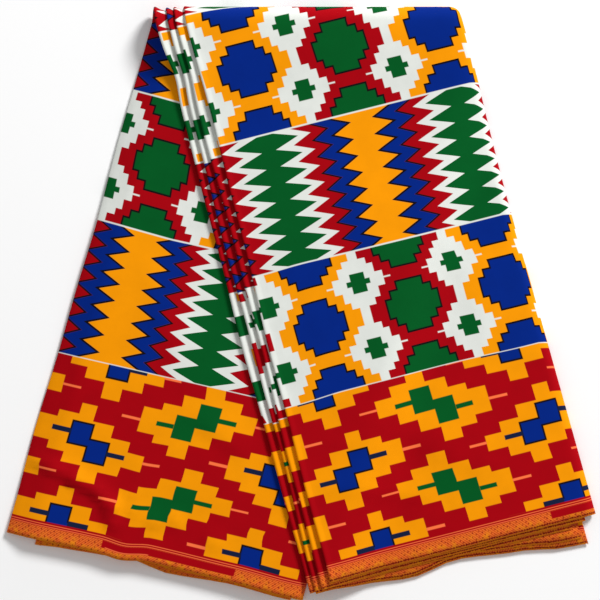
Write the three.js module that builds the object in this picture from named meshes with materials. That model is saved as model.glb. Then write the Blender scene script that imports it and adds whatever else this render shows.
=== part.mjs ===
// A length of printed cotton, folded for sale: eight layers folded back and forth into a strip, and the strip
// turned over once, so that two legs lie in a narrow V. The back leg lies flat; the front leg lies over it and
// falls to the surface beside it. Millimetres, +Z up. The origin is the bottom centre of the bounding box.
import * as THREE from "three";

// The cloth and its stack of layers. Layer 1 is the outside of the stack and layer 8 the inside of the turn.
const SHEET = 1.0;
const PITCH = 1.5;
const LAYERS = 8;
const STACK = (LAYERS - 1) * PITCH + SHEET;

// The turn at the top. Its axis runs along X, and both legs run from it towards -Y.
const TURN_INNER_RADIUS = 3.5;
const AXIS_HEIGHT = STACK + TURN_INNER_RADIUS;
const TOP_WIDTH = 270.6;

// The lean of each leg's left and right edge from the Y direction, and how far the turn carries the strip to
// the left on its way down.
const FRONT = { leftLean: tan(14.25), rightLean: tan(15.7) };
const BACK = { leftLean: tan(15.9), rightLean: tan(14.6) };
const TURN_SHIFT = 4.4;
FRONT.fan = (FRONT.rightLean - FRONT.leftLean) / TOP_WIDTH;
BACK.fan = (BACK.leftLean - BACK.rightLean) / TOP_WIDTH;

// The selvedges: how far each leg's left corner lies from the axis, and the slope of its edge across the leg.
const FRONT_END = { corner: 559.2, slope: tan(14.24) };
const BACK_END = { corner: 510.3, slope: tan(12.9) };

// The folds at the left edge, named by their upper layer in the front leg. out is how far a fold stands out to
// the left of layer 1's fold, and swell how much its rounded edge puffs up in the front leg. past is how far
// its end runs past layer 1's selvedge in front, and past layer 8's at the back.
const LEFT_FOLDS = {
  1: { out: { front: 0, turn: 0, back: 0 }, swell: 0.6, past: { front: 0, back: 6 } },
  3: { out: { front: 8, turn: 11, back: 10 }, swell: 1.4, past: { front: 5, back: -3 } },
  5: { out: { front: 14.5, turn: 20, back: 20 }, swell: 1.5, past: { front: 7.5, back: -4 } },
  7: { out: { front: 22, turn: 30, back: 30 }, swell: 1.7, past: { front: 6, back: 0 } },
};
const FOLD_DEPTH = 7;

// What is at the right edge: the spine round layers 1 and 8, two folds inside it, and the cloth's two cut ends.
// inset is how far each stops short of the strip's right edge.
const RIGHT_ENDS = {
  spine: { inset: 9.5, past: { front: 0, back: 0 } },
  2: { inset: 13, past: { front: 4, back: 3 } },
  6: { inset: 16, past: { front: 22, back: -3 } },
  5: { inset: 20, past: { front: 15, back: 2 } },
  4: { inset: 27, past: { front: 9, back: -8 } },
};
const SPINE_REACH = 9;

// How the ends wander along the selvedges: what is added to past at distances across. Layers 5 to 7 have a wave
// of their own in front. Behind, all layers share one, and layers 1 to 3 below them add another.
const END_WAVES = {
  frontUnder: [
    { across: -5, past: 0 },
    { across: 32, past: 2 },
    { across: 77, past: 5 },
    { across: 128, past: -4 },
    { across: 190, past: 0 },
    { across: 231, past: 5 },
  ],
  back: [
    { across: -30, past: 0 },
    { across: 62, past: -1 },
    { across: 130, past: -3 },
    { across: 195, past: -2 },
    { across: 255, past: 0 },
  ],
  backUnder: [
    { across: -5, past: 0 },
    { across: 32, past: -2 },
    { across: 95, past: -5 },
    { across: 130, past: 2.5 },
    { across: 198, past: -1 },
    { across: 255, past: 0 },
  ],
};
const WAVY_IN_FRONT = [5, 6, 7];
const WAVY_BEHIND = [1, 2, 3];

// How far the right edge stands out from its straight lean at the turn, fading down the front leg.
const FLARE = { size: 4, reach: 200 };

// How the legs lie. The front leg rests on the back leg with a small gap, and falls to the surface between two
// distances from that leg's right edge. Near the turn the loop holds it higher. Round the turn and behind it
// the left folds sink by a share of how far they stand out, so they lie level with layer 1.
const LEG_GAP = 0.5;
const FALL = { from: 16, to: 74 };
const LOOP_REACH = 95;
const SINK = 0.31;
const SINK_FROM = 4;

// Where the faceted grid has its points: shares of the width, shares along a leg, and steps round each curve.
const ACROSS = [0.12, 0.23, 0.35, 0.48, 0.61, 0.73, 0.83];
const ALONG_FRONT = [1, 0.95, 0.84, 0.7, 0.54, 0.38, 0.24, 0.13, 0.05];
const ALONG_BACK = [0.25, 0.5, 0.75, 1];
const TURN_STEPS = 8;
const SPINE_STEPS = 6;
const FOLD_STEPS = 4;

function tan(degrees) {
  return Math.tan(THREE.MathUtils.degToRad(degrees));
}

function smooth(share) {
  return THREE.MathUtils.smoothstep(share, 0, 1);
}

// A value that is given at the front end, the turn and the back end of the strip.
function alongStrip(values, place) {
  const end = place.leg < 0 ? values.front : values.back;
  return values.turn + (end - values.turn) * place.share;
}

// A wave's value between the rows of its table.
function waveAt(name, across) {
  const wave = END_WAVES[name];
  if (across <= wave[0].across) return wave[0].past;
  const next = wave.findIndex((row) => row.across > across);
  if (next < 0) return wave.at(-1).past;
  const [low, high] = [wave[next - 1], wave[next]];
  return low.past + (high.past - low.past) * smooth((across - low.across) / (high.across - low.across));
}

// How far an end runs past the outer selvedge of its leg.
function pastOf(values, place, layer, across) {
  if (place.leg < 0) return values.front + (WAVY_IN_FRONT.includes(layer) ? waveAt("frontUnder", across) : 0);
  const under = WAVY_BEHIND.includes(layer) ? waveAt("backUnder", across) : 0;
  return values.back + waveAt("back", across) + under;
}

function layerHeight(layer) {
  return SHEET / 2 + (LAYERS - layer) * PITCH;
}

function upperOf(layer) {
  return layer % 2 ? layer : layer - 1;
}

function rightEndOf(layer) {
  if (layer === 1 || layer === LAYERS) return RIGHT_ENDS.spine;
  return RIGHT_ENDS[{ 3: 2, 7: 6 }[layer] ?? layer];
}

// The lines along the strip that a layer has its points on, from left to right. All layers share them, so
// their facets lie parallel: where each left fold begins, the shares of the width, and where each right end is.
function linesOf(layer) {
  const folds = Object.keys(LEFT_FOLDS).map(Number).filter((upper) => upper <= layer).reverse();
  const rightInset = rightEndOf(layer).inset;
  const ends = Object.values(RIGHT_ENDS).map((end) => end.inset).filter((inset) => inset >= rightInset);
  return [
    ...folds.map((upper) => (place) => FOLD_DEPTH - alongStrip(LEFT_FOLDS[upper].out, place)),
    ...ACROSS.map((share) => () => share * TOP_WIDTH),
    ...ends.sort((a, b) => b - a).map((inset) => () => TOP_WIDTH - inset),
  ];
}

// The points of one layer from left to right. Each gives how far it lies across from layer 1's left fold, its
// height in the stack, and how far its end runs past the outer selvedge, for a place along the strip.
function layerColumns(layer) {
  const left = LEFT_FOLDS[upperOf(layer)];
  const right = rightEndOf(layer);
  return linesOf(layer).map((line) => (place) => {
    const across = line(place);
    const share = THREE.MathUtils.clamp(across / TOP_WIDTH, 0, 1);
    const pastLeft = pastOf(left.past, place, layer, across);
    const pastRight = pastOf(right.past, place, layer, across);
    return { across, height: layerHeight(layer), past: pastLeft * (1 - share) + pastRight * share };
  });
}

// The points round a left fold from its upper layer to its lower one: half a circle that may puff up.
function leftFoldColumns(upper) {
  const fold = LEFT_FOLDS[upper];
  return Array.from({ length: FOLD_STEPS + 1 }, (_, i) => (place) => {
    const turned = (Math.PI * i) / FOLD_STEPS;
    const radius = (PITCH + fold.swell * place.puff) / 2;
    const across = radius * (1 - Math.sin(turned)) - alongStrip(fold.out, place);
    const height = layerHeight(upper + 1) + radius * (1 + Math.cos(turned));
    return { across, height, past: pastOf(fold.past, place, upper, across) };
  });
}

// The points round a right end between two layers, as half an ellipse without its first and last points.
function rightFoldColumns(upper, lower, reach, steps) {
  const end = rightEndOf(upper);
  const middle = (layerHeight(upper) + layerHeight(lower)) / 2;
  const half = (layerHeight(upper) - layerHeight(lower)) / 2;
  return Array.from({ length: steps - 1 }, (_, i) => (place) => {
    const turned = (Math.PI * (i + 1)) / steps;
    const across = TOP_WIDTH - end.inset + reach * Math.sin(turned);
    return { across, height: middle + half * Math.cos(turned), past: pastOf(end.past, place, upper, across) };
  });
}

// The whole section in the order of the cloth, from the cut end inside layer 4 to the one inside layer 5.
function sectionColumns() {
  const toRight = layerColumns;
  const toLeft = (layer) => layerColumns(layer).reverse();
  const foldUp = (upper) => leftFoldColumns(upper).reverse();
  return [
    ...toLeft(4),
    ...foldUp(3),
    ...toRight(3),
    ...rightFoldColumns(2, 3, PITCH / 2, FOLD_STEPS).reverse(),
    ...toLeft(2),
    ...foldUp(1),
    ...toRight(1),
    ...rightFoldColumns(1, LAYERS, SPINE_REACH, SPINE_STEPS),
    ...toLeft(8),
    ...foldUp(7),
    ...toRight(7),
    ...rightFoldColumns(6, 7, PITCH / 2, FOLD_STEPS).reverse(),
    ...toLeft(6),
    ...foldUp(5),
    ...toRight(5),
  ];
}

// How far from the axis a line along the leg meets its outer selvedge.
function frontReach(across) {
  const { corner, slope } = FRONT_END;
  const lean = FRONT.leftLean + across * FRONT.fan;
  return (corner * (1 + slope * FRONT.leftLean) - slope * across) / (1 + slope * lean);
}

function backReach(across) {
  const { corner, slope } = BACK_END;
  const lean = (edge) => BACK.leftLean - edge * BACK.fan;
  const edge = -LEFT_FOLDS[7].out.back;
  return (corner * (1 + slope * lean(edge)) + slope * (across - edge)) / (1 + slope * lean(across));
}

function sinkOf(across) {
  return SINK * Math.max(0, -across - SINK_FROM);
}

// The x of the back leg's right edge at a distance from the axis.
function backRightEdge(along) {
  return TOP_WIDTH - TURN_SHIFT - along * BACK.rightLean;
}

// How much the loop of the turn still lifts the front leg at a distance from the axis.
function loopShare(along) {
  return smooth(1 - along / LOOP_REACH);
}

// The height of the front leg's underside.
function frontBase(x, along) {
  const fallen = smooth((x - backRightEdge(along) - FALL.from) / (FALL.to - FALL.from));
  const loop = AXIS_HEIGHT + TURN_INNER_RADIUS - STACK - LEG_GAP;
  return (STACK + LEG_GAP) * (1 - fallen) + loop * loopShare(along);
}

// The rows of the grid, from the front selvedge over the turn to the back selvedge. share is how far along its
// leg a row lies, and puff how much of the left folds' swelling it has.
function stripRows() {
  const front = ALONG_FRONT.map((share) => ({ leg: -1, share, puff: 1 }));
  const turn = Array.from({ length: TURN_STEPS + 1 }, (_, i) => ({
    leg: 0,
    share: 0,
    turned: (Math.PI * i) / TURN_STEPS,
    puff: 1 - i / TURN_STEPS,
  }));
  const back = ALONG_BACK.map((share) => ({ leg: 1, share, puff: 0 }));
  return [...front, ...turn, ...back];
}

// How far to the right the flare moves a point.
function flareOf(across, along, turned) {
  const rightward = Math.max(0, across / TOP_WIDTH) ** 2;
  return FLARE.size * rightward * smooth(1 - along / FLARE.reach) * (1 - turned / Math.PI);
}

// A point of the middle of the cloth in the part's own axes.
function frontPoint({ across, height }, share) {
  const along = frontReach(across) * share;
  const x = along * FRONT.leftLean + across * (1 + along * FRONT.fan) + flareOf(across, along, 0);
  return new THREE.Vector3(x, -along, frontBase(x, along) + height + sinkOf(across) * loopShare(along));
}

function turnPoint({ across, height }, turned) {
  const radius = TURN_INNER_RADIUS + height + sinkOf(across);
  const x = across - (TURN_SHIFT * turned) / Math.PI + flareOf(across, 0, turned);
  return new THREE.Vector3(x, radius * Math.sin(turned), AXIS_HEIGHT + radius * Math.cos(turned));
}

function backPoint({ across, height }, share) {
  const along = backReach(across) * share;
  const x = -TURN_SHIFT - along * BACK.leftLean + across * (1 + along * BACK.fan);
  return new THREE.Vector3(x, -along, AXIS_HEIGHT - TURN_INNER_RADIUS - height - sinkOf(across));
}

// A point of a row. At a selvedge the last facets run on straight, as far as the layer passes the outer one,
// but no lower than the surface.
function clothPoint(column, place) {
  const point = column(place);
  if (place.leg === 0) return turnPoint(point, place.turned);
  const onLeg = place.leg < 0 ? frontPoint : backPoint;
  const made = onLeg(point, place.share);
  if (place.share < 1) return made;
  const before = onLeg(point, place.leg < 0 ? ALONG_FRONT[1] : ALONG_BACK.at(-2));
  made.addScaledVector(made.clone().sub(before).normalize(), point.past);
  if (place.leg < 0) made.z = Math.max(made.z, point.height);
  return made;
}

// The closed solid of a sheet whose middle surface is a grid of points.
function thickSheet(grid, thickness) {
  const rows = grid.length;
  const columns = grid[0].length;
  const at = (r, c) => grid[THREE.MathUtils.clamp(r, 0, rows - 1)][THREE.MathUtils.clamp(c, 0, columns - 1)];
  const towards = (r, c) => at(r, c + 1).clone().sub(at(r, c)).normalize();
  const normal = (r, c) => {
    const over = towards(r, c).add(towards(r, c - 1));
    const along = at(r + 1, c).clone().sub(at(r - 1, c));
    return over.cross(along).normalize();
  };
  const positions = [];
  [1, -1].forEach((side) =>
    grid.forEach((row, r) =>
      row.forEach((point, c) => {
        const moved = point.clone().addScaledVector(normal(r, c), (side * thickness) / 2);
        positions.push(moved.x, moved.y, moved.z);
      }),
    ),
  );
  const outer = (r, c) => r * columns + c;
  const inner = (r, c) => (rows + r) * columns + c;
  const index = [];
  // Two triangles that share the diagonal from a to c, or from b to d if turned.
  const quad = (a, b, c, d, turned = false) =>
    turned ? index.push(b, c, d, b, d, a) : index.push(a, b, c, a, c, d);
  for (let r = 0; r < rows - 1; r++) {
    for (let c = 0; c < columns - 1; c++) {
      // Layers that run to the left turn their diagonals, so that these cross every layer the same way.
      const leftward = at(r, c + 1).x < at(r, c).x;
      quad(outer(r, c), outer(r, c + 1), outer(r + 1, c + 1), outer(r + 1, c), leftward);
      quad(inner(r, c), inner(r + 1, c), inner(r + 1, c + 1), inner(r, c + 1), leftward);
    }
    quad(outer(r, 0), outer(r + 1, 0), inner(r + 1, 0), inner(r, 0));
    quad(outer(r + 1, columns - 1), outer(r, columns - 1), inner(r, columns - 1), inner(r + 1, columns - 1));
  }
  for (let c = 0; c < columns - 1; c++) {
    quad(outer(0, c + 1), outer(0, c), inner(0, c), inner(0, c + 1));
    quad(outer(rows - 1, c), outer(rows - 1, c + 1), inner(rows - 1, c + 1), inner(rows - 1, c));
  }
  const geometry = new THREE.BufferGeometry();
  geometry.setAttribute("position", new THREE.Float32BufferAttribute(positions, 3));
  geometry.setIndex(index);
  return geometry;
}

// The printed cotton itself.
function makeCloth() {
  const columns = sectionColumns();
  const grid = stripRows().map((place) => columns.map((column) => clothPoint(column, place)));
  const geometry = thickSheet(grid, SHEET);
  geometry.computeBoundingBox();
  const box = geometry.boundingBox;
  geometry.translate(-(box.min.x + box.max.x) / 2, -(box.min.y + box.max.y) / 2, -box.min.z);
  geometry.computeVertexNormals();
  const cotton = new THREE.MeshStandardMaterial({ color: 0xb01020, roughness: 0.85, name: "printed_cotton" });
  const cloth = new THREE.Mesh(geometry, cotton);
  cloth.name = "cloth";
  return cloth;
}

const foldedFabric = new THREE.Group();
foldedFabric.add(makeCloth());

export default foldedFabric;
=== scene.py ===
"""A length of wax-print cotton folded for sale, laid on a pale floor and seen from straight above.

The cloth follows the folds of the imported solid. Shapes are worked out in millimetres and turned to metres at
the end. The print is worked out by shader nodes from each point's place on the flat cloth.
"""
import math

import bpy
import numpy as np
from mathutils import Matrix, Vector


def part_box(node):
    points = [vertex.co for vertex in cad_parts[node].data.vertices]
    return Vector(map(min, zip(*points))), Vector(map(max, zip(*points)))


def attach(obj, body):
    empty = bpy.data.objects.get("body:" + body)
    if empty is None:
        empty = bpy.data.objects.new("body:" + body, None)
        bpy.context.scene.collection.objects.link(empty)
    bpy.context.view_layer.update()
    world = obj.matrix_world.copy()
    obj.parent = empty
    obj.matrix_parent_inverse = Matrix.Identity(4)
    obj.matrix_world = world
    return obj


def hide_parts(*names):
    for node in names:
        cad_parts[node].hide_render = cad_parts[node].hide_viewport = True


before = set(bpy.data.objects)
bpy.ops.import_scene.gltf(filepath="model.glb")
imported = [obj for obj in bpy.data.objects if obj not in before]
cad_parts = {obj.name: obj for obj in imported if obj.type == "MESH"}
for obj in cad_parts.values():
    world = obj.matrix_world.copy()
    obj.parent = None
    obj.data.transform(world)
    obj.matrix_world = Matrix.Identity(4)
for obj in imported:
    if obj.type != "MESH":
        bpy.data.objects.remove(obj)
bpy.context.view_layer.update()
MM = 0.001

# The cloth and its stack of layers, as in the solid. Layer 1 is the outside of the stack.
SOLID_SHEET = 1.0
COTTON = 0.6
PITCH = 1.5
LAYERS = 8
STACK = (LAYERS - 1) * PITCH + SOLID_SHEET
CLOTH_WIDTH = 1172.0

# The turn at the top.
TURN_INNER_RADIUS = 3.5
AXIS_HEIGHT = STACK + TURN_INNER_RADIUS
TOP_WIDTH = 270.6
TURN_SHIFT = 4.4


def tan(degrees):
    return math.tan(math.radians(degrees))


# The lean of each leg's left and right edge from the Y direction, and the selvedges across them.
FRONT_LEFT_LEAN, FRONT_RIGHT_LEAN = tan(14.25), tan(15.7)
BACK_LEFT_LEAN, BACK_RIGHT_LEAN = tan(15.9), tan(14.6)
FRONT_FAN = (FRONT_RIGHT_LEAN - FRONT_LEFT_LEAN) / TOP_WIDTH
BACK_FAN = (BACK_LEFT_LEAN - BACK_RIGHT_LEAN) / TOP_WIDTH
FRONT_CORNER, FRONT_SLOPE = 559.2, tan(14.24)
BACK_CORNER, BACK_SLOPE = 510.3, tan(12.9)

# The folds at the left edge by their upper layer in the front leg: how far each stands out at the front end,
# the turn and the back end, how much it puffs up, and how far its end passes the outer selvedge.
LEFT_FOLDS = {
    1: dict(out=(0, 0, 0), swell=1.0, past=(0, 6)),
    3: dict(out=(8, 11, 10), swell=1.6, past=(5, -3)),
    5: dict(out=(14.5, 20, 20), swell=1.7, past=(7.5, -4)),
    7: dict(out=(22, 30, 30), swell=1.9, past=(6, 0)),
}
FOLD_DEPTH = 7
# How far the lowest fold draws in below the turn, where on the front leg, and over what share of it.
PINCH, PINCH_PLACE, PINCH_WIDTH = 3.5, 0.1, 0.035
# What is at the right edge, by layer: how far it stops short of the strip's edge, and how far it passes.
SPINE = dict(inset=9.5, past=(0, 0))
RIGHT_ENDS = {
    1: SPINE,
    2: dict(inset=13, past=(4, 3)),
    3: dict(inset=13, past=(4, 3)),
    4: dict(inset=27, past=(9, -8)),
    5: dict(inset=20, past=(15, 2)),
    6: dict(inset=16, past=(22, -3)),
    7: dict(inset=16, past=(22, -3)),
    8: SPINE,
}
SPINE_REACH = 9

# How the ends wander along the selvedges: what is added to past at distances across. Layers 5 to 7 have a
# wave of their own in front. Behind, all layers share one, and layers 1 to 3 below them add another.
FRONT_UNDER_WAVE = [(-5, 0), (32, 2), (77, 5), (128, -4), (190, 0), (231, 5)]
BACK_WAVE = [(-30, 0), (62, -1), (85, 1), (112, -3), (195, -2), (255, 0)]
BACK_UNDER_WAVE = [(-5, 0), (32, -2), (95, -5), (130, 2.5), (198, -1), (255, 0)]
WAVY_IN_FRONT = (5, 6, 7)
WAVY_BEHIND = (1, 2, 3)
# From this share of a leg to its end a layer takes up what it runs past the outer selvedge.
PAST_FROM = 0.93

# How far the right edge stands out from its straight lean at the turn, fading down the front leg.
FLARE, FLARE_REACH = 4, 200

# The gap between the legs, how far past the back leg's edge the front one starts and ends falling to the
# floor, and how far the turn's loop holds the legs apart.
LEG_GAP = 0.8
FALL_FROM, FALL_TO = 16, 74
LOOP_REACH = 95
# How much the folds that stand out at the left sink for each millimetre past the given one.
SINK, SINK_FROM = 0.31, 4
# How a fold's edge wanders along the strip: two waves, by how far, how often and how the layers differ.
WAVERS = [dict(reach=0.8, rate=9, phase=1), dict(reach=0.5, rate=23, phase=2.1)]

# Rows along the strip, points across a layer that shows and one that doesn't, and points round each kind of
# fold. A left fold also has points on its upper side, at these shares of its depth.
FRONT_ROWS, TURN_ROWS, BACK_ROWS = 79, 14, 79
SHOWN_POINTS, HIDDEN_POINTS = 50, 16
FOLD_POINTS, SPINE_POINTS, INNER_FOLD_POINTS = 7, 10, 5
FOLD_SHOULDER = (0.75, 0.5, 0.3, 0.14)
# The back leg's rows lie closer together towards its end, and its top layer's points towards the left edge,
# where its creases are.
BACK_ROWS_POWER, CREASED_POINTS_POWER = 0.72, 1.25

# The place of the print on the cloth. Its columns repeat every REPEAT along the cloth, and the first fold's
# edge drifts over them. Each lower fold lies some repeats further on.
REPEAT = 197.0
HALF = REPEAT / 2
FIRST_FOLD_U, FIRST_FOLD_DRIFT = -63.0, 0.031
FOLD_REPEATS = {3: -3, 7: 3, 5: 6}
# Which part of a repeat lies on each lower fold's edge, at distances from the front selvedge.
FOLD_U = {
    3: [(60, -70), (165, -69.5), (200, -63), (262, -61.5), (340, -52), (455, -51), (512, -47.5), (575, -44)],
    5: [(60, -77.5), (130, -76.5), (170, -68), (262, -67), (340, -56), (385, -54)],
    7: [(60, -70.5), (140, -67), (165, -62), (190, -55.5), (290, -53), (385, -49.5), (515, -47.5)],
}
# How much further from the front selvedge the print lies on the lower folds than on layer 1, and the distance
# from the selvedge over which it comes on.
PLEAT_GAIN, PLEAT_GAIN_OVER = 4.5, 150
# Where the print lies a little to one side: the leg, the stretch of it, over what length the shift comes on,
# from where to where across it comes on, and the shift along the cloth.
SIDE_SHIFTS = [
    dict(leg=-1, along=(95, 245), over=30, across=(110, 160), shift=4),
    dict(leg=-1, along=(235, 700), over=25, across=(75, 5), shift=-4.5),
    dict(leg=-1, along=(85, 235), over=25, across=(75, 5), shift=3),
    dict(leg=-1, along=(-60, 110), over=60, across=(0, 60), shift=-2.7),
    dict(leg=1, along=(120, 700), over=70, across=(-60, 5), shift=4),
    dict(leg=1, along=(210, 385), over=40, across=(50, 100), shift=-3),
    dict(leg=1, along=(270, 385), over=40, across=(-60, -20), shift=-1.5),
]
# The same for its place across the cloth, away from the front selvedge.
UP_SHIFTS = [
    dict(leg=-1, along=(215, 410), over=50, across=(10, 60), shift=-2.5),
    dict(leg=-1, along=(215, 410), over=50, across=(170, 250), shift=1.8),
]
# The print follows the waves of the back selvedge up to the first distance and leaves them by the second.
WAVE_FADE = (20, 150)
# Over how many columns to each side of the inner right fold the lower layers' print goes over into layer 2's.
LATE_COLUMNS = 3
# What the print on the back leg gains on the front's, at distances from the back selvedge.
BACK_STRETCH = [(0, 0), (150, 0.7), (210, -2.4), (250, -4.3), (320, -3.7), (400, -3.4), (520, -2.5)]
# The bands of the back leg lean more near the turn: by how much, between which distances across, and from
# where to where along the leg it fades.
BACK_TILT, TILT_ACROSS, TILT_FADE = 0.05, (-30, 50), (330, 200)


def smooth(share):
    share = np.clip(share, 0, 1)
    return share * share * (3 - 2 * share)


def wave_at(wave, across):
    """A wave's value between the points of its table."""
    result = np.full(np.shape(across), float(wave[0][1]))
    for (low, below), (high, above) in zip(wave, wave[1:]):
        result += (above - below) * smooth((across - low) / (high - low))
    return result


class Rows:
    """The rows of the grid, from the front selvedge over the turn to the back selvedge."""

    leg = np.concatenate([np.full(FRONT_ROWS, -1), np.zeros(TURN_ROWS), np.full(BACK_ROWS, 1)])
    share = np.concatenate([
        np.linspace(1, 0, FRONT_ROWS, endpoint=False),
        np.zeros(TURN_ROWS),
        np.linspace(1, 0, BACK_ROWS, endpoint=False)[::-1] ** BACK_ROWS_POWER,
    ])
    turned = np.concatenate([
        np.zeros(FRONT_ROWS), np.linspace(0, math.pi, TURN_ROWS), np.full(BACK_ROWS, math.pi)
    ])
    puff = 1 - turned / math.pi
    front = leg < 0
    back = leg > 0

    @classmethod
    def along(cls, values):
        """A value given at the front end, the turn and the back end."""
        end = np.where(cls.front, values[0], values[2])
        return values[1] + (end - values[1]) * cls.share

    @classmethod
    def past(cls, values, layer, across):
        """How far an end runs past the outer selvedge of its leg, given in front and behind."""
        front = values[0] + (wave_at(FRONT_UNDER_WAVE, across) if layer in WAVY_IN_FRONT else 0)
        back = values[1] + wave_at(BACK_WAVE, across)
        if layer in WAVY_BEHIND:
            back = back + wave_at(BACK_UNDER_WAVE, across)
        return np.where(cls.front, front, back)


def layer_height(layer):
    """How high the middle of a layer lies in its stack."""
    return SOLID_SHEET / 2 + (LAYERS - layer) * PITCH


def waver(layer):
    """A fold's edge wanders a little along the strip, and the lower folds draw in just below the turn."""
    place = Rows.leg * Rows.share
    pinch = PINCH * (layer - 1) / (LAYERS - 2) * np.exp(-(((place + PINCH_PLACE) / PINCH_WIDTH) ** 2))
    wander = sum(row["reach"] * np.sin(place * row["rate"] + row["phase"] * layer) for row in WAVERS)
    return wander - pinch


def fold_out(upper):
    """How far a left fold stands out at every row."""
    return Rows.along(LEFT_FOLDS[upper]["out"]) + waver(upper)


def layer_columns(layer):
    """The points of one layer from left to right: across, height and past for every row."""
    upper = layer if layer % 2 else layer - 1
    left, right = LEFT_FOLDS[upper], RIGHT_ENDS[layer]
    shown = layer in (1, LAYERS)
    start = FOLD_DEPTH - fold_out(upper)
    inner = [FOLD_DEPTH - fold_out(above) for above in LEFT_FOLDS if above < upper][::-1]
    end = TOP_WIDTH - right["inset"]
    lines = [start]
    for line in inner:
        lines += [(lines[-1] + line) / 2, line]
    count = SHOWN_POINTS if shown else HIDDEN_POINTS
    last = lines[-1]
    power = CREASED_POINTS_POWER if layer == LAYERS else 1
    lines += [last + (end - last) * (i / count) ** power for i in range(1, count + 1)]
    columns = []
    for across in lines:
        share = np.clip(across / TOP_WIDTH, 0, 1)
        past_left, past_right = (Rows.past(end["past"], layer, across) for end in (left, right))
        past = past_left * (1 - share) + past_right * share
        columns.append((across, np.full(across.shape, layer_height(layer)), past))
    return columns


def left_fold_columns(upper):
    """The rounded left fold from its upper layer to its lower one, puffed up in the front leg."""
    fold = LEFT_FOLDS[upper]
    radius = (PITCH + fold["swell"] * Rows.puff) / 2
    tip = -fold_out(upper)
    level = layer_height(upper + 1)
    past = Rows.past(fold["past"], upper, tip)
    columns = []
    for share in FOLD_SHOULDER:
        easing = smooth(np.array(1 - share))
        across = tip + radius + (FOLD_DEPTH - radius) * share
        columns.append((across, level + PITCH + (2 * radius - PITCH) * easing, past))
    for i in range(FOLD_POINTS):
        turned = math.pi * i / (FOLD_POINTS - 1)
        across = tip + radius * (1 - math.sin(turned))
        columns.append((across, level + radius * (1 + math.cos(turned)), past))
    return columns


def right_fold_columns(upper, lower, reach, points):
    """The rounded right end between two layers, without its first and last points."""
    right = RIGHT_ENDS[upper]
    middle = (layer_height(upper) + layer_height(lower)) / 2
    half = (layer_height(upper) - layer_height(lower)) / 2
    columns = []
    for i in range(1, points):
        turned = math.pi * i / points
        across = np.full(Rows.leg.shape, TOP_WIDTH - right["inset"] + reach * math.sin(turned))
        height = np.full(Rows.leg.shape, middle + half * math.cos(turned))
        columns.append((across, height, Rows.past(right["past"], upper, across)))
    return columns


def section():
    """Every column in the order of the cloth, and the columns where the print is pinned."""
    columns, marks = [], {}

    def left_fold(upper):
        marks[upper] = len(columns) + FOLD_POINTS // 2
        columns.extend(left_fold_columns(upper)[::-1])

    def inner_right_fold(upper):
        columns.extend(right_fold_columns(upper, upper + 1, PITCH / 2, INNER_FOLD_POINTS)[::-1])

    columns.extend(layer_columns(4)[::-1])
    left_fold(3)
    columns.extend(layer_columns(3))
    marks["inner_right"] = len(columns) + INNER_FOLD_POINTS // 2 - 1
    inner_right_fold(2)
    columns.extend(layer_columns(2)[::-1])
    left_fold(1)
    columns.extend(layer_columns(1))
    marks["spine_start"] = len(columns) - 1
    columns.extend(right_fold_columns(1, LAYERS, SPINE_REACH, SPINE_POINTS))
    marks["spine_end"] = len(columns)
    columns.extend(layer_columns(LAYERS)[::-1])
    left_fold(7)
    columns.extend(layer_columns(7))
    inner_right_fold(6)
    columns.extend(layer_columns(6)[::-1])
    left_fold(5)
    columns.extend(layer_columns(5))
    grids = [np.stack(grid, axis=1) for grid in zip(*columns)]
    return (*grids, marks)


def front_reach(across):
    """How far from the axis a line along the front leg meets its outer selvedge."""
    lean = FRONT_LEFT_LEAN + across * FRONT_FAN
    corner = FRONT_CORNER * (1 + FRONT_SLOPE * FRONT_LEFT_LEAN)
    return (corner - FRONT_SLOPE * across) / (1 + FRONT_SLOPE * lean)


def back_reach(across):
    """The same for the back leg."""
    edge = -LEFT_FOLDS[7]["out"][2]
    lean = BACK_LEFT_LEAN - across * BACK_FAN
    corner = BACK_CORNER * (1 + BACK_SLOPE * (BACK_LEFT_LEAN - edge * BACK_FAN))
    return (corner + BACK_SLOPE * (across - edge)) / (1 + BACK_SLOPE * lean)


# A leg's top layer lies loosely on the others, and the lift fades quickly below it.
BACK_LOOSE, FRONT_LOOSE = 2.4, 1.4
LIFT_POWER = 8
# How the looseness varies over a leg: a middle value, a broad wave and a finer one that runs slantwise.
LOOSE_MIDDLE = 0.6
BROAD_WAVE = dict(share=0.25, x_length=41, x_phase=1.3, y_length=57, y_phase=0.4)
SLANT_WAVE = dict(share=0.15, x_length=23, y_length=31)
# The creases are soft ridges in the top layer, given one by one in the part's own millimetres. Each
# has one side that is easier than the other by this factor.
EASY_SIDE = 3
BACK_CREASES = [
    dict(ends=((-269, -157), (-226, -177)), width=3.6, height=3.6, taper=20),
    dict(ends=((-231, -175), (-203, -190)), width=3.6, height=4.2, taper=12),
    dict(ends=((-207, -188), (-184, -208)), width=3.6, height=3.8, taper=12),
    dict(ends=((-199, -199), (-188, -226)), width=3.6, height=3.4, taper=12),
    dict(ends=((-170, -187), (-167, -195)), width=2.5, height=1.0, taper=5),
    dict(ends=((-174, -205), (-166, -213)), width=3, height=1.6, taper=6),
    dict(ends=((-157, -216), (-140, -223)), width=2.8, height=1.5, taper=8),
    dict(ends=((-122, -222), (-129, -206)), width=3, height=1.8, taper=8),
    dict(ends=((-94, -232), (-84, -247)), width=4, height=1.4, taper=12),
    dict(ends=((-104, -116), (-60, -150)), width=6, height=1.8, taper=30),
    dict(ends=((-150, 20), (-120, -70)), width=10, height=1.6, taper=50),
]
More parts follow.
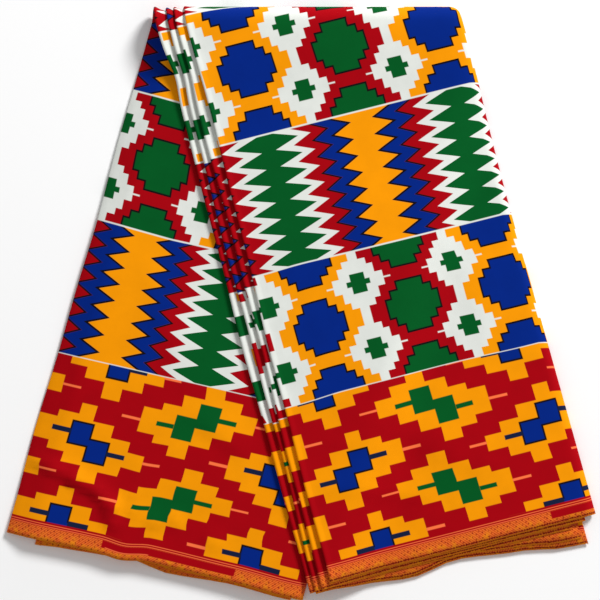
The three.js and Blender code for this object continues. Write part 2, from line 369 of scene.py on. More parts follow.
FRONT_CREASES = [
    dict(ends=((20, -184), (126, -194)), width=4.5, height=1.3, taper=30),
    dict(ends=((90, -120), (190, -170)), width=12, height=1.3, taper=50),
    dict(ends=((40, 130), (90, 20)), width=14, height=1.1, taper=60),
    dict(ends=((150, 60), (190, -40)), width=12, height=1.1, taper=50),
]


def bump(x, y, crease):
    """A soft ridge between two points. Seen along it, its right side falls off more steeply than its left."""
    (x0, y0), (x1, y1) = crease["ends"]
    span = math.hypot(x1 - x0, y1 - y0)
    along = ((x - x0) * (x1 - x0) + (y - y0) * (y1 - y0)) / span
    beside = ((x - x0) * (y1 - y0) - (y - y0) * (x1 - x0)) / span
    taper = smooth(along / crease["taper"] + 0.5) * smooth((span - along) / crease["taper"] + 0.5)
    width = crease["width"] * np.where(beside < 0, EASY_SIDE, 1)
    return crease["height"] * taper * np.exp(-((beside / width) ** 2))


def unevenness(x, y):
    """How the looseness of a leg varies, from about 0.2 to 1."""
    wave = BROAD_WAVE
    broad = np.sin(x / wave["x_length"] + wave["x_phase"]) * np.sin(y / wave["y_length"] + wave["y_phase"])
    slant = np.sin(x / SLANT_WAVE["x_length"] - y / SLANT_WAVE["y_length"])
    return LOOSE_MIDDLE + wave["share"] * broad + SLANT_WAVE["share"] * slant


def lift_of(x, y, loose, creases, below):
    """How far a layer is lifted. below is nought for the top layer of the leg and 1 for its lowest one."""
    below = np.clip(below, 0, 1)
    rolling = loose * unevenness(x, y)
    top = smooth(1 - below * (LAYERS - 1))
    creased = sum(bump(x, y, crease) for crease in creases) * top
    return (rolling + creased) * (1 - below) ** LIFT_POWER


def loop_share(along):
    """How much of the turn's loop is left at a distance from the axis, from 1 to nought."""
    return smooth(1 - along / LOOP_REACH)


def sink_of(across):
    """How far a fold that stands out at the left sinks towards the floor."""
    return SINK * np.maximum(0, -across - SINK_FROM)


def leg_along(reach, past):
    """How far from the axis each row lies on a leg."""
    share = Rows.share[:, None]
    return reach * share + past * np.clip((share - PAST_FROM) / (1 - PAST_FROM), 0, 1)


def flare_of(across, along, turned):
    """How far the cloth spreads to the right near the turn."""
    rightward = np.maximum(0, across / TOP_WIDTH) ** 2
    return FLARE * rightward * smooth(1 - along / FLARE_REACH) * (1 - turned / math.pi)


def depth_of(height):
    """Nought for layer 1 and 1 for the last one."""
    return (layer_height(1) - height) / (layer_height(1) - layer_height(LAYERS))


def on_front_leg(across, height, past, shift):
    """x, y and z on the front leg, which lies on the back one and falls to the floor beside it."""
    along = leg_along(front_reach(across), past)
    x = along * FRONT_LEFT_LEAN + across * (1 + along * FRONT_FAN) + shift[0]
    x += flare_of(across, along, 0)
    y = shift[1] - along
    edge = TOP_WIDTH - TURN_SHIFT - along * BACK_RIGHT_LEAN + shift[0]
    fallen = smooth((x - edge - FALL_FROM) / (FALL_TO - FALL_FROM))
    away = smooth(along / LOOP_REACH)
    under = BACK_LOOSE * unevenness(x, y) * (1 - fallen) * away
    loop = AXIS_HEIGHT + TURN_INNER_RADIUS - STACK - LEG_GAP
    base = (STACK + LEG_GAP) * (1 - fallen) + loop * loop_share(along) + under
    lift = lift_of(x, y, FRONT_LOOSE, FRONT_CREASES, depth_of(height)) * away
    return x, y, base + height + sink_of(across) * loop_share(along) + lift


def on_back_leg(across, height, past, shift):
    """x, y and z on the back leg, whose stack lies the other way up."""
    along = leg_along(back_reach(across), past)
    x = shift[0] - TURN_SHIFT - along * BACK_LEFT_LEAN + across * (1 + along * BACK_FAN)
    y = shift[1] - along
    away = smooth(along / LOOP_REACH)
    lift = lift_of(x, y, BACK_LOOSE, BACK_CREASES, 1 - depth_of(height)) * away
    return x, y, AXIS_HEIGHT - TURN_INNER_RADIUS - height - sink_of(across) + lift


def over_turn(across, height, shift):
    """x, y and z round the turn."""
    turned = Rows.turned[:, None]
    radius = TURN_INNER_RADIUS + height + sink_of(across)
    x = across - TURN_SHIFT * turned / math.pi + flare_of(across, 0, turned) + shift[0]
    return x, radius * np.sin(turned) + shift[1], AXIS_HEIGHT + radius * np.cos(turned)


def middle_surface(across, height, past, shift):
    """The middle of the cloth in the part's own millimetres. shift moves the axis into place."""
    front, back = Rows.front[:, None], Rows.back[:, None]
    places = zip(
        on_front_leg(across, height, past, shift),
        on_back_leg(across, height, past, shift),
        over_turn(across, height, shift),
    )
    chosen = [np.where(front, in_front, np.where(back, behind, over)) for in_front, behind, over in places]
    return np.stack(chosen, axis=-1)


def late_share(count, marks):
    """1 for the columns of layers 1 and 2 and nought for the others, with soft changes between."""
    inner = marks["inner_right"]
    knots = [inner - LATE_COLUMNS, inner + LATE_COLUMNS, marks["spine_start"], marks["spine_end"]]
    return np.interp(np.arange(count), knots, [0, 1, 1, 0])[None, :]


def shift_of(rows, across, past, late):
    """How far the rows of a table move the print at each point. In front only layers 1 and 2 take it up."""
    total = np.zeros(across.shape)
    in_front = 1 - smooth(Rows.turned / math.pi)[:, None]
    for row in rows:
        reach = front_reach(across) if row["leg"] < 0 else back_reach(across)
        along = leg_along(reach, past)
        (near, far), over = row["along"], row["over"]
        window = smooth((along - near) / over) * smooth((far - along) / over)
        start, end = row["across"]
        ramp = smooth((across - start) / (end - start))
        taken = in_front * late if row["leg"] < 0 else Rows.back[:, None]
        total += row["shift"] * window * ramp * taken
    return total


def fold_u(upper, v):
    """The place along the cloth of a lower fold's edge."""
    return FOLD_REPEATS[upper] * REPEAT + np.interp(v, *zip(*FOLD_U[upper]))


def seen_in_front(across, past, walked, late):
    """The distance from the front selvedge, true on the front leg and walked on from there."""
    reach = front_reach(across)
    slant = np.sqrt(1 + (FRONT_LEFT_LEAN + across * FRONT_FAN) ** 2)
    whole = (reach + past[:1]) * slant
    on_leg = whole - leg_along(reach, past) * slant
    seen = np.where(Rows.front[:, None], on_leg, whole + walked - walked[FRONT_ROWS])
    return seen + PLEAT_GAIN * (1 - late) * smooth(seen / PLEAT_GAIN_OVER)


def seen_behind(across, past, walked):
    """The distance from the front selvedge, counted back from the back one and true on the back leg."""
    reach = back_reach(across)
    slant = np.sqrt(1 + (BACK_LEFT_LEAN - across * BACK_FAN) ** 2)
    whole = (reach + past[-1:]) * slant
    along = leg_along(reach, past)
    turn_end = walked[FRONT_ROWS + TURN_ROWS - 1]
    from_back = np.where(Rows.back[:, None], whole - along * slant, whole + turn_end - walked)
    start, end = WAVE_FADE
    from_back -= wave_at(BACK_WAVE, across) * smooth((from_back - start) / (end - start))
    seen = CLOTH_WIDTH - from_back - np.interp(from_back, *zip(*BACK_STRETCH))
    start, end = TILT_FADE
    fade = smooth((along - start) / (end - start))
    return seen - BACK_TILT * (np.clip(across, *TILT_ACROSS) - sum(TILT_ACROSS)) * fade


def print_across(points, across, past, late):
    """v, the distance from the front selvedge, for every point.

    It is true in front and behind, and takes up the difference in the turn, or behind for layers 1 and 2,
    which show all the way over the turn.
    """
    steps = np.linalg.norm(np.diff(points, axis=0), axis=2)
    walked = np.vstack([np.zeros(points.shape[1]), np.cumsum(steps, axis=0)])
    in_front = seen_in_front(across, past, walked, late)
    behind = seen_behind(across, past, walked)
    in_turn = smooth(Rows.turned / math.pi)[:, None]
    on_back = smooth(np.where(Rows.back, Rows.share, 0))[:, None]
    return in_front + (behind - in_front) * (in_turn * (1 - late) + on_back * late)


def print_along(points, v, marks):
    """u, the place along the cloth, for every point: pinned at the folds and even between them."""
    length = np.linalg.norm(np.diff(points, axis=1), axis=2)
    chain = np.hstack([np.zeros((points.shape[0], 1)), np.cumsum(length, axis=1)])
    first_fold = FIRST_FOLD_U + FIRST_FOLD_DRIFT * np.clip(v[:, marks[1]], 0, CLOTH_WIDTH / 2)
    layer_one = chain[:, marks["spine_start"]] - chain[:, marks[1]]
    layer_eight = chain[:, marks[7]] - chain[:, marks["spine_end"]]
    lower = {upper: fold_u(upper, v[:, marks[upper]]) for upper in FOLD_U}
    end_column = points.shape[1] - 1
    pins = [
        (0, lower[3] - chain[:, marks[3]]),
        (marks[3], lower[3]),
        (marks[1], first_fold),
        (marks["spine_start"], first_fold + layer_one),
        (marks["spine_end"], lower[7] - layer_eight),
        (marks[7], lower[7]),
        (marks[5], lower[5]),
        (end_column, lower[5] + chain[:, end_column] - chain[:, marks[5]]),
    ]
    return np.array([
        np.interp(chain[row], [chain[row, column] for column, _ in pins], [u[row] for _, u in pins])
        for row in range(points.shape[0])
    ])


def print_places(points, across, past, marks):
    """u along the cloth and v across it for every point."""
    late = late_share(across.shape[1], marks)
    v = print_across(points, across, past, late)
    u = print_along(points, v, marks)
    return u + shift_of(SIDE_SHIFTS, across, past, late), v + shift_of(UP_SHIFTS, across, past, late)


def faces_between(rows, columns, offset, turned):
    """The quads of one side of the sheet."""
    r, c = np.meshgrid(np.arange(rows - 1), np.arange(columns - 1), indexing="ij")
    corner = (r * columns + c + offset).ravel()
    loop = [corner, corner + 1, corner + columns + 1, corner + columns]
    return np.stack(loop[::-1] if turned else loop, axis=1)


def rim_faces(rows, columns):
    """Quads that close the sheet at its two selvedges and two cut ends."""
    inner = rows * columns
    c = np.arange(columns - 1)
    r = np.arange(rows - 1)
    last_row = (rows - 1) * columns
    last_column = columns - 1
    return np.concatenate([
        np.stack([c + 1, c, c + inner, c + 1 + inner], axis=1),
        np.stack([c + last_row, c + 1 + last_row, c + 1 + last_row + inner, c + last_row + inner], axis=1),
        np.stack([r * columns, (r + 1) * columns, (r + 1) * columns + inner, r * columns + inner], axis=1),
        np.stack([
            (r + 1) * columns + last_column,
            r * columns + last_column,
            r * columns + last_column + inner,
            (r + 1) * columns + last_column + inner,
        ], axis=1),
    ])


def sheet_normals(points):
    """The direction out of the sheet at each point."""
    over = np.diff(points, axis=1)
    over /= np.linalg.norm(over, axis=2, keepdims=True)
    over = np.concatenate([over[:, :1], over, over[:, -1:]], axis=1)
    over = over[:, 1:] + over[:, :-1]
    along = np.empty_like(points)
    along[1:-1] = points[2:] - points[:-2]
    along[0] = points[1] - points[0]
    along[-1] = points[-1] - points[-2]
    normals = np.cross(over, along)
    return normals / np.linalg.norm(normals, axis=2, keepdims=True)


# The empty margin round each side of the cloth in the unit square, and how far its rim goes into it.
BAKE_MARGIN = 0.012
RIM_MARGIN = BAKE_MARGIN / 3


def bake_places(points):
    """The cloth laid out flat in the unit square: the outer face in its top half, the inner in its bottom."""
    rows, columns = points.shape[:2]
    length = np.linalg.norm(np.diff(points, axis=1), axis=2).mean(axis=0)
    chain = np.concatenate([[0], np.cumsum(length)])
    width = np.linalg.norm(np.diff(points, axis=0), axis=2).mean(axis=1)
    strip = np.concatenate([[0], np.cumsum(width)])
    s = BAKE_MARGIN + (1 - 2 * BAKE_MARGIN) * chain / chain[-1]
    t = BAKE_MARGIN + (0.5 - 2 * BAKE_MARGIN) * strip / strip[-1]
    s, t = np.meshgrid(s, t)
    return np.stack([s, t + 0.5], axis=-1).reshape(-1, 2), np.stack([s, t], axis=-1).reshape(-1, 2)


def bake_corners(points, faces):
    """The flat layout at every face's corners. The rim's faces reach a little into the margin."""
    rows, columns = points.shape[:2]
    flat = np.concatenate(bake_places(points))[faces]
    sheet_faces = 2 * (rows - 1) * (columns - 1)
    flat[sheet_faces:, 2:] = flat[sheet_faces:, 1::-1]
    edge = np.array([0, RIM_MARGIN])
    side = np.array([RIM_MARGIN, 0])
    rim_starts = np.cumsum([0, columns - 1, columns - 1, rows - 1, rows - 1]) + sheet_faces
    for start, stop, move in zip(rim_starts, rim_starts[1:], (-edge, edge, -side, side)):
        flat[start:stop, 2:] += move
    return flat


def write_map(mesh, name, corners):
    uv_map = mesh.uv_layers.new(name=name)
    uv_map.data.foreach_set("uv", corners.astype(np.float32).ravel())


def cloth_points():
    """The middle of the sheet inside the solid's box, and its print's places."""
    across, height, past, marks = section()
    raw = middle_surface(across, height, past, (0.0, 0.0))
    low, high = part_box("cloth")
    shift = (
        low[0] / MM + SOLID_SHEET / 2 - raw[..., 0].min(),
        high[1] / MM - SOLID_SHEET / 2 - raw[..., 1].max(),
    )
    points = middle_surface(across, height, past, shift)
    points[..., 2] -= (SOLID_SHEET - COTTON) / 2
    u, v = print_places(points, across, past, marks)
    return points, np.stack([u, v], axis=-1).reshape(-1, 2)


def build_cloth():
    """The sheet on the solid's folds, with its print's places and its flat layout as UV maps."""
    points, places = cloth_points()
    rows, columns = points.shape[:2]
    half_sheet = sheet_normals(points) * COTTON / 2
    vertices = np.concatenate([(points + half_sheet).reshape(-1, 3), (points - half_sheet).reshape(-1, 3)])
    faces = np.concatenate([
        faces_between(rows, columns, 0, False),
        faces_between(rows, columns, rows * columns, True),
        rim_faces(rows, columns),
    ])
    mesh = bpy.data.meshes.new("cloth_sheet")
    mesh.from_pydata((vertices * MM).tolist(), [], faces.tolist())
    mesh.polygons.foreach_set("use_smooth", np.ones(len(faces), bool))
    write_map(mesh, "print", np.concatenate([places, places])[faces])
    write_map(mesh, "OFBake", bake_corners(points, faces))
    mesh.update()
    cloth = bpy.data.objects.new("folded_cloth", mesh)
    bpy.context.collection.objects.link(cloth)
    return cloth


# Colours of the print, as seen on a screen.
BLUE = (0, 37, 129)
RED = (165, 0, 13)
GREEN = (0, 86, 33)
AMBER = (247, 152, 0)
WHITE = (225, 228, 222)
INK = (18, 12, 16)
NAVY = (20, 30, 62)
SALMON = (255, 118, 66)
STRIPE = (198, 62, 20)
STRIPE_LIGHT = (240, 120, 46)
STRIPE_AMBER = (238, 146, 14)
DOTS = (132, 18, 12)


def colour(screen):
    """A screen colour from 0 to 255 as the shader's linear one."""
    def linear(value):
        value /= 255
        return value / 12.92 if value <= 0.04045 else ((value + 0.055) / 1.055) ** 2.4

    return (*(linear(value) for value in screen), 1)


class Field:
    """A number over the cloth that shader nodes work out. Sums of fields add the nodes they need."""

    tree = None

    def __init__(self, socket):
        self.socket = socket

    def __add__(self, other):
        return calc("ADD", self, other)

    def __sub__(self, other):
        return calc("SUBTRACT", self, other)

    def __rsub__(self, other):
        return calc("SUBTRACT", other, self)

    def __mul__(self, other):
        return calc("MULTIPLY", self, other)

    def __abs__(self):
        return calc("ABSOLUTE", self)

    __radd__ = __add__
    __rmul__ = __mul__


def calc(operation, *values, clamp=False):
    """A field from a math node of fields and numbers."""
    node = Field.tree.nodes.new("ShaderNodeMath")
    node.operation = operation
    node.use_clamp = clamp
    for socket, value in zip(node.inputs, values):
        if isinstance(value, Field):
            Field.tree.links.new(value.socket, socket)
        else:
            socket.default_value = value
    return Field(node.outputs[0])


def least(first, *others):
    for other in others:
        first = calc("MINIMUM", first, other)
    return first


def most(first, *others):
    for other in others:
        first = calc("MAXIMUM", first, other)
    return first


def wrap(value, period):
    """The distance to the nearest whole period, with its sign."""
    return calc("WRAP", value, period / 2, -period / 2)


# Over how many millimetres a printed edge fades.
INK_BLUR = 0.7


def inside(distance):
    """1 where the distance to a shape's edge is positive, 0 outside, with a slightly soft edge."""
    return calc("MULTIPLY_ADD", distance, 1 / INK_BLUR, 0.5, clamp=True)


def rectangle(x, y, x_range, y_range):
    """How far inside a rectangle a point is."""
    x_middle, x_half = sum(x_range) / 2, (x_range[1] - x_range[0]) / 2
    y_middle, y_half = sum(y_range) / 2, (y_range[1] - y_range[0]) / 2
    return least(x_half - abs(x - x_middle), y_half - abs(y - y_middle))


# A ramp holds values from 0 to 1, so each step's value is shifted and scaled to fit.
STEP_SHIFT, STEP_SCALE = 64.0, 128.0


def staircase(x, start, steps):
    """A value that changes in steps. Each step is where it ends and its value."""
    span = steps[-1][0] - start
    ramp = Field.tree.nodes.new("ShaderNodeValToRGB")
    ramp.color_ramp.interpolation = "CONSTANT"
    elements = ramp.color_ramp.elements
    elements.remove(elements[1])
    begins = [start] + [end for end, _ in steps[:-1]]
    for i, (begin, (_, value)) in enumerate(zip(begins, steps)):
        element = elements[0] if i == 0 else elements.new((begin - start) / span)
        element.position = (begin - start) / span
        level = (value + STEP_SHIFT) / STEP_SCALE
        element.color = (level, level, level, 1)
    fraction = calc("MULTIPLY_ADD", x, 1 / span, -start / span)
    Field.tree.links.new(fraction.socket, ramp.inputs["Fac"])
    return calc("MULTIPLY_ADD", Field(ramp.outputs["Color"]), STEP_SCALE, -STEP_SHIFT)


def paint(under, mask, over):
    """The colour under a mask with another laid over it. Each colour is a screen colour or a socket."""
    mix = Field.tree.nodes.new("ShaderNodeMix")
    mix.data_type = "RGBA"
    Field.tree.links.new(mask.socket, mix.inputs[0])
    for socket, value in ((mix.inputs[6], under), (mix.inputs[7], over)):
        if isinstance(value, tuple):
            socket.default_value = colour(value)
        else:
            Field.tree.links.new(value, socket)
    return mix.outputs[2]


def step_edge(x, y, steps):
    """How far a point is from the treads of a stepped shape, so that its outline runs round each step."""
    treads = []
    for (end, half_width), (_, narrower) in zip(steps, steps[1:]):
        treads.append(most(end - y, narrower - x))
    return treads


# The bands of the print across the cloth, from the front selvedge, in millimetres.
SELVEDGE = 17.25
BORDER_END = 179.0
BAND = 134.5
FIELD_END = 986.0
BACK_BORDER_SCALE = 0.966
LINE = 0.8
COLUMN_PERIOD = HALF
MEDALLION_PERIOD = BAND / 2
# A medallion and its ring, by steps from the middle: where each ends and its half width.
MEDALLION_STEPS = [(10.5, 28.5), (18.5, 22.5), (27, 14.5), (34, -5)]
RING_STEPS = [(9, 44.5), (15.8, 37), (26, 31), (34, 23.5)]
OUTLINE = 1.8
# The white tick between two rings, and the halves of the cross's two bars.
TICK_RANGE, TICK_BELOW, TICK_ABOVE = (16.5, 24), 0.8, 1
CROSS_BARS = [(7.4, 10.2), (12, 2.8)]


def medallions(u, v):
    """Stepped medallions in rings, blue on amber and green on red in turn, with crosses between."""
    x = abs(wrap(u, COLUMN_PERIOD))
    y = abs(wrap(v - BORDER_END, MEDALLION_PERIOD))
    is_blue = inside(HALF / 2 - abs(wrap(u, REPEAT)))
    ring = paint(RED, is_blue, AMBER)
    core = paint(GREEN, is_blue, BLUE)
    half_width = staircase(y, 0, MEDALLION_STEPS)
    stepped = least(half_width - x, *step_edge(x, y, MEDALLION_STEPS))
    result = paint(WHITE, inside(staircase(y, 0, RING_STEPS) - x), ring)
    result = paint(result, inside(half_width - x), INK)
    result = paint(result, inside(stepped - OUTLINE), core)
    middle = MEDALLION_PERIOD / 2
    tick = rectangle(x, y, TICK_RANGE, (middle - TICK_BELOW, middle + TICK_ABOVE))
    result = paint(result, inside(tick), WHITE)
    cross_x = COLUMN_PERIOD / 2 - x
    cross_y = middle - y
    cross = most(*(least(half_x - cross_x, half_y - cross_y) for half_x, half_y in CROSS_BARS))
    return paint(result, inside(cross), GREEN)


# The toothed bands from the middle of a green one outwards: where each starts, how far its teeth swing, its
# colour, and the width of the ink line before it. A tooth starts at TOOTH_START from a band's line.
TOOTH, TOOTH_START = 17.0, 9
ZIGZAG_BANDS = [
    dict(start=7, swing=25, dye=WHITE, line=0),
    dict(start=25, swing=20, dye=RED, line=0),
    dict(start=45.5, swing=17, dye=BLUE, line=3.4),
    dict(start=66, swing=19.5, dye=AMBER, line=4.6),
]


def zigzags(u, v):
    """Columns of toothed bands: green, white, red, blue and amber, mirrored about green and amber."""
    x = abs(wrap(u, REPEAT))
    t = calc("WRAP", v - BORDER_END, 2 * BAND, 0.0)
    count = (2 * BAND - TOOTH_START - t) * (1 / TOOTH)
    tooth = 1 - abs(wrap(count, 1.0)) * 2
    result = GREEN
    for band in ZIGZAG_BANDS:
        beyond = x - band["start"] - tooth * band["swing"]
        half_line = band["line"] / 2
        if half_line:
            result = paint(result, inside(half_line - abs(beyond)), INK)
        result = paint(result, inside(beyond - half_line), band["dye"])
    return result


# The border's two motifs, in millimetres from each one's middle. x runs along the cloth and y away from the
# selvedge. hi and lo are the upper and lower edges of the amber field, each step by where it ends. The neck
# joins the pair of blocks, the outline is ink beyond their edges and within them, and the overprint is a bar
# beside the selvedge.
BORDER_PERIOD = 83.5
MOTIF_A = dict(
    middle=(0.0, 86.0),
    start=-57.75,
    hi=[(-40.75, -0.5), (-20.75, 9.5), (1.25, 21.5), (16.75, 37), (36.75, 26), (56.25, 19)],
    lo=[(-37.75, -16), (-17.75, -26), (0.75, -38), (21.25, -23), (38.75, -13), (56.25, -5)],
    blocks=[((-20.75, 0.75), (-18.5, 4)), ((-0.75, 20.75), (-4, 18.5))],
    neck=((-2.5, 2.5), (-2.9, 2.9)),
    arms=[((-38.75, -20), (-9.3, -4.6)), ((20, 39.25), (5.7, 10.7))],
    ticks=[((56.25, 75), (5.5, 8.5)), ((-75, -57.75), (-8.5, -6))],
    overprint=((-20.75, -0.75), (0, 7.3)),
    core=BLUE,
    arm=NAVY,
    outline=(0.8, 1.1),
)
MOTIF_B = dict(
    middle=(HALF, 127.5),
    start=-58,
    hi=[(-40, 17), (-21, 26.8), (-2, 38), (18.5, 23.3), (36.5, 12.3), (55, 5.5)],
    lo=[(-39, 0.8), (-20, -9.8), (1, -22), (20, -37), (37, -27), (55, -19.3)],
    blocks=[((-21, 1), (-4.5, 19)), ((0, 21), (-19, 4.5))],
    neck=((0, 1), (-4, 4)),
    arms=[((-39, -20.5), (5, 9.5)), ((21, 38.5), (-10, -5.5))],
    ticks=[((-76, -58), (8, 10)), ((55, 74), (-9, -6.5))],
    core=GREEN,
    arm=GREEN,
    outline=(0, 0),
)


def border(u, v):
    """Amber stepped fields on red with a pair of blocks in each, blue and green in turn."""
    result = RED
    for motif in (MOTIF_A, MOTIF_B):
        x = wrap(u - motif["middle"][0], REPEAT)
        y = wrap(v - motif["middle"][1], BORDER_PERIOD)
        end = motif["hi"][-1][0]
        field = least(
            staircase(x, motif["start"], motif["hi"]) - y,
            y - staircase(x, motif["start"], motif["lo"]),
            x - motif["start"],
            end - x,
        )
        result = paint(result, inside(field), AMBER)
        ticks = [rectangle(x, y, *tick) for tick in motif["ticks"]]
        result = paint(result, inside(most(*ticks)), SALMON)
        blocks = most(*(rectangle(x, y, *block) for block in motif["blocks"]))
        arms = most(*(rectangle(x, y, *arm) for arm in motif["arms"]))
        outside, within = motif["outline"]
        if outside:
            result = paint(result, inside(blocks + outside), INK)
        result = paint(result, inside(arms), motif["arm"])
        core = most(blocks - within, rectangle(x, y, *motif["neck"]))
        result = paint(result, inside(core), motif["core"])
        if "overprint" in motif:
            bar = rectangle(x, v, *motif["overprint"])
            result = paint(result, inside(bar), motif["arm"])
    return result


# Uneven values over the cloth: the noise's scale, detail and roughness, and how its value is spread.
MOTTLE = dict(scale=0.12, detail=3, roughness=0.5, gain=4.0, offset=-1.75)
RAGGED_DOTS = dict(scale=0.5, detail=2, roughness=0.5, gain=5.0, offset=-2.6)
UNEVEN_DYE = dict(scale=0.035, detail=4, roughness=0.6, gain=0.22, offset=0.89)
UNEVEN_WEAVE = dict(scale=0.25, detail=3, roughness=0.5, gain=1.5, offset=0.0)


def noise(vector, kind, clamp=False):
    """Noise of one of the kinds above."""
    node = Field.tree.nodes.new("ShaderNodeTexNoise")
    node.inputs["Scale"].default_value = kind["scale"]
    node.inputs["Detail"].default_value = kind["detail"]
    node.inputs["Roughness"].default_value = kind["roughness"]
    Field.tree.links.new(vector, node.inputs["Vector"])
    return calc("MULTIPLY_ADD", Field(node.outputs["Fac"]), kind["gain"], kind["offset"], clamp=clamp)


# The selvedge, by distance from the woven edge: a plain band with two fine lines, then a mottled stripe with
# staggered rows of dots. In each leg the stripe holds one long plain panel. In front, a denser ragged row of
# dark dots near the woven edge is partly print and partly painted shade along the top layer's edge.
SELVEDGE_BAND, SELVEDGE_LINES, STRIPE_TOP = 19.6, (17.1, 14.9), 13.9
FINE_LINE = 0.35
HATCH_PERIOD, HATCH_SLANT = 2.7, 0.9
MOTTLE_END, MOTTLE_FADE, MOTTLE_STRENGTH = 9, 0.12, 0.8
DOT_PERIOD, DOT_ROWS = 6.4, [(12.0, 0.0), (9.8, 3.4), (7.6, 1.1), (4.9, 4.6), (2.1, 2.4)]
DOT_SIZE, DOT_STRENGTH = 0.9, 0.8
PANEL_RANGE, PANEL_FRONT, PANEL_BACK = (6.2, 13.8), (170, 306), (314, 450)
PANEL_LINE = ((402, 446), (6.6, 7.4))
# The front row of dark dots, partly print and partly painted shade: its distance from the woven edge, its
# period and how much its dots vary.
FRONT_DOTS_AND_SHADE_EDGE, FRONT_DOTS_AND_SHADE_PERIOD, FRONT_DOTS_AND_SHADE_SHARE = 2.2, 2.6, 0.5
WOVEN_EDGE, WOVEN_STRENGTH = 0.8, 0.6


def selvedge(result, u, edge, behind, place):
    """The woven edge laid over the rest of the print."""
    result = paint(result, inside(SELVEDGE_BAND - edge), RED)
    for line in SELVEDGE_LINES:
        result = paint(result, inside(FINE_LINE - abs(edge - line)), SALMON)
    hatch = abs(wrap(u + edge * HATCH_SLANT, HATCH_PERIOD)) * (2 / HATCH_PERIOD)
    mottled = noise(place, MOTTLE, clamp=True) * inside((MOTTLE_END - edge) * MOTTLE_FADE)
    stripe = paint(STRIPE, hatch, STRIPE_LIGHT)
    stripe = paint(stripe, mottled * MOTTLE_STRENGTH, STRIPE_AMBER)
    ragged = noise(place, RAGGED_DOTS)
    for row, start in DOT_ROWS:
        dot = DOT_SIZE - abs(wrap(u + start, DOT_PERIOD)) - abs(edge - row) + ragged
        stripe = paint(stripe, inside(dot) * DOT_STRENGTH, DOTS)
    # A denser ragged row of dark dots in front only, partly print and partly painted shade along the top
    # layer's edge.
    beside = (ragged - abs(wrap(u, FRONT_DOTS_AND_SHADE_PERIOD))) * FRONT_DOTS_AND_SHADE_SHARE
    front_dot_and_shade = DOT_SIZE - abs(edge - FRONT_DOTS_AND_SHADE_EDGE) + beside
    stripe = paint(stripe, inside(front_dot_and_shade) * (1 - behind), DOTS)
    stripe = paint(stripe, inside(WOVEN_EDGE - edge) * WOVEN_STRENGTH, STRIPE_AMBER)
    for ends, side in ((PANEL_FRONT, 1 - behind), (PANEL_BACK, behind)):
        stripe = paint(stripe, inside(rectangle(u, edge, ends, PANEL_RANGE)) * side, RED)
    stripe = paint(stripe, inside(rectangle(u, edge, *PANEL_LINE)) * behind, SALMON)
    return paint(result, inside(STRIPE_TOP - edge), stripe)


# How far the motifs of the two borders lie along the cloth from the medallions' columns.
FRONT_BORDER_SHIFT, BACK_BORDER_SHIFT = 9.5, -105


def print_colour(u, v, place):
    """The whole print, from selvedge to selvedge."""
    in_zigzags = inside(calc("WRAP", v - BORDER_END, 2 * BAND, 0.0) - BAND)
    field = paint(medallions(u, v), in_zigzags, zigzags(u, v))
    lines = LINE - abs(wrap(v - BORDER_END, BAND))
    field = paint(field, inside(lines), WHITE)
    behind = inside(v - CLOTH_WIDTH / 2)
    edge = least(v, CLOTH_WIDTH - v)
    depth = (edge - SELVEDGE) * (1 - behind * (1 - BACK_BORDER_SCALE))
    border_u = u + FRONT_BORDER_SHIFT + behind * BACK_BORDER_SHIFT
    in_border = most(inside(BORDER_END - v), inside(v - FIELD_END))
    whole = paint(field, in_border, border(border_u, depth))
    return selvedge(whole, u, edge, behind, place)


# The weave: its pitch, its bump's strength and its depth in metres. Then how the cotton takes the light.
THREAD, WEAVE_STRENGTH, WEAVE_DEPTH = 0.62, 0.12, 0.0002
COTTON_ROUGHNESS, COTTON_SPECULAR = 0.8, 0.06


def printed_cotton():
    """The cotton: the print, the weave's fine bump and a faint unevenness of the dye."""
    material = bpy.data.materials.new("printed_cotton")
    material.use_nodes = True
    tree = Field.tree = material.node_tree
    shader = tree.nodes["Principled BSDF"]
    place = tree.nodes.new("ShaderNodeUVMap")
    place.uv_map = "print"
    split = tree.nodes.new("ShaderNodeSeparateXYZ")
    tree.links.new(place.outputs["UV"], split.inputs[0])
    u, v = Field(split.outputs["X"]), Field(split.outputs["Y"])
    dye = print_colour(u, v, place.outputs["UV"])

    uneven = noise(place.outputs["UV"], UNEVEN_DYE)
    shade = tree.nodes.new("ShaderNodeVectorMath")
    shade.operation = "SCALE"
    tree.links.new(dye, shade.inputs[0])
    tree.links.new(uneven.socket, shade.inputs["Scale"])
    tree.links.new(shade.outputs[0], shader.inputs["Base Color"])

    warp = abs(wrap(u, THREAD)) * (1 / THREAD)
    weft = abs(wrap(v, THREAD)) * (1 / THREAD)
    bump_node = tree.nodes.new("ShaderNodeBump")
    bump_node.inputs["Strength"].default_value = WEAVE_STRENGTH
    bump_node.inputs["Distance"].default_value = WEAVE_DEPTH
    height = most(warp, weft) + noise(place.outputs["UV"], UNEVEN_WEAVE)
    tree.links.new(height.socket, bump_node.inputs["Height"])
    tree.links.new(bump_node.outputs["Normal"], shader.inputs["Normal"])
    shader.inputs["Roughness"].default_value = COTTON_ROUGHNESS
    shader.inputs["Specular IOR Level"].default_value = COTTON_SPECULAR
    return material


def plain_material(name, screen, roughness):
    material = bpy.data.materials.new(name)
    material.use_nodes = True
    shader = material.node_tree.nodes["Principled BSDF"]
    shader.inputs["Base Color"].default_value = colour(screen)
    shader.inputs["Roughness"].default_value = roughness
    return material


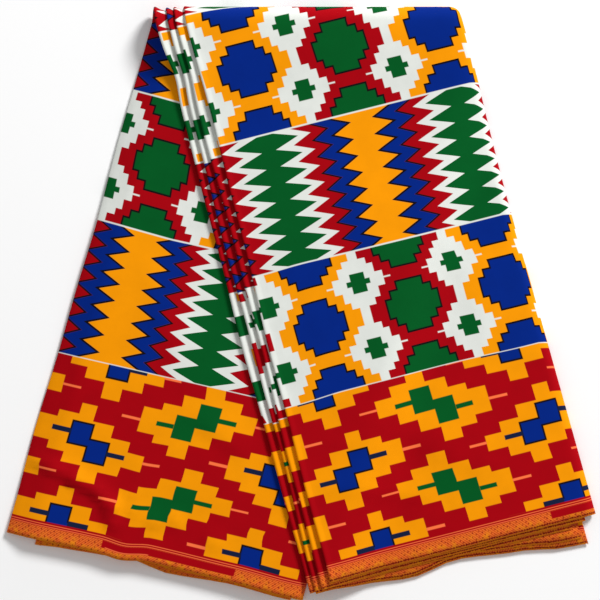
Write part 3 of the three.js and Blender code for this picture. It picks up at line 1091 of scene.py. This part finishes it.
def area_light(name, location, target, size, power):
    light = bpy.data.lights.new(name, "AREA")
    light.shape = "DISK"
    light.size = size
    light.energy = power
    lamp = bpy.data.objects.new(name, light)
    lamp.location = location
    lamp.rotation_euler = (Vector(target) - Vector(location)).to_track_quat("-Z", "Y").to_euler()
    bpy.context.collection.objects.link(lamp)


# The studio, in metres: the floor's reach and roughness, the room's brightness, and the light's place, width
# and power.
FLOOR_REACH, FLOOR_ROUGHNESS = 6.0, 0.9
ROOM_BRIGHTNESS = 0.42
KEY_PLACE, KEY_WIDTH, KEY_POWER = (2.6, 3.4, 2.9), 1.5, 270


def studio():
    """A pale floor, a soft light from the upper right and a bright room."""
    floor_mesh = bpy.data.meshes.new("floor")
    reach = FLOOR_REACH
    corners = [(-reach, -reach, 0), (reach, -reach, 0), (reach, reach, 0), (-reach, reach, 0)]
    floor_mesh.from_pydata(corners, [], [(0, 1, 2, 3)])
    floor = bpy.data.objects.new("floor", floor_mesh)
    floor.data.materials.append(plain_material("pale_floor", (255, 255, 255), FLOOR_ROUGHNESS))
    bpy.context.collection.objects.link(floor)

    world = bpy.data.worlds.new("room")
    world.use_nodes = True
    background = world.node_tree.nodes["Background"]
    background.inputs["Color"].default_value = (1, 1, 1, 1)
    background.inputs["Strength"].default_value = ROOM_BRIGHTNESS
    bpy.context.scene.world = world
    area_light("key", KEY_PLACE, (0, 0, 0), KEY_WIDTH, KEY_POWER)
    bpy.context.scene.view_settings.view_transform = "Standard"


# The camera, in metres: how wide it sees at the cloth's height, its distance from there, and where it is.
SEEN_WIDTH, SEEN_HEIGHT, CAMERA_DISTANCE = 0.598, 0.018, 3.0
CAMERA_PLACE = (-0.0011, 0.0037)
SENSOR_WIDTH = 36


def camera():
    """Straight above. At the cloth's height one millimetre is one pixel of the 600 by 600 picture."""
    data = bpy.data.cameras.new("camera")
    data.sensor_width = SENSOR_WIDTH
    data.lens = SENSOR_WIDTH * CAMERA_DISTANCE / SEEN_WIDTH
    taker = bpy.data.objects.new("camera", data)
    taker.location = (*CAMERA_PLACE, CAMERA_DISTANCE + SEEN_HEIGHT)
    bpy.context.collection.objects.link(taker)
    bpy.context.scene.camera = taker


cloth = build_cloth()
cloth.data.materials.append(printed_cotton())
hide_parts("cloth")
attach(cloth, "root")
studio()
camera()
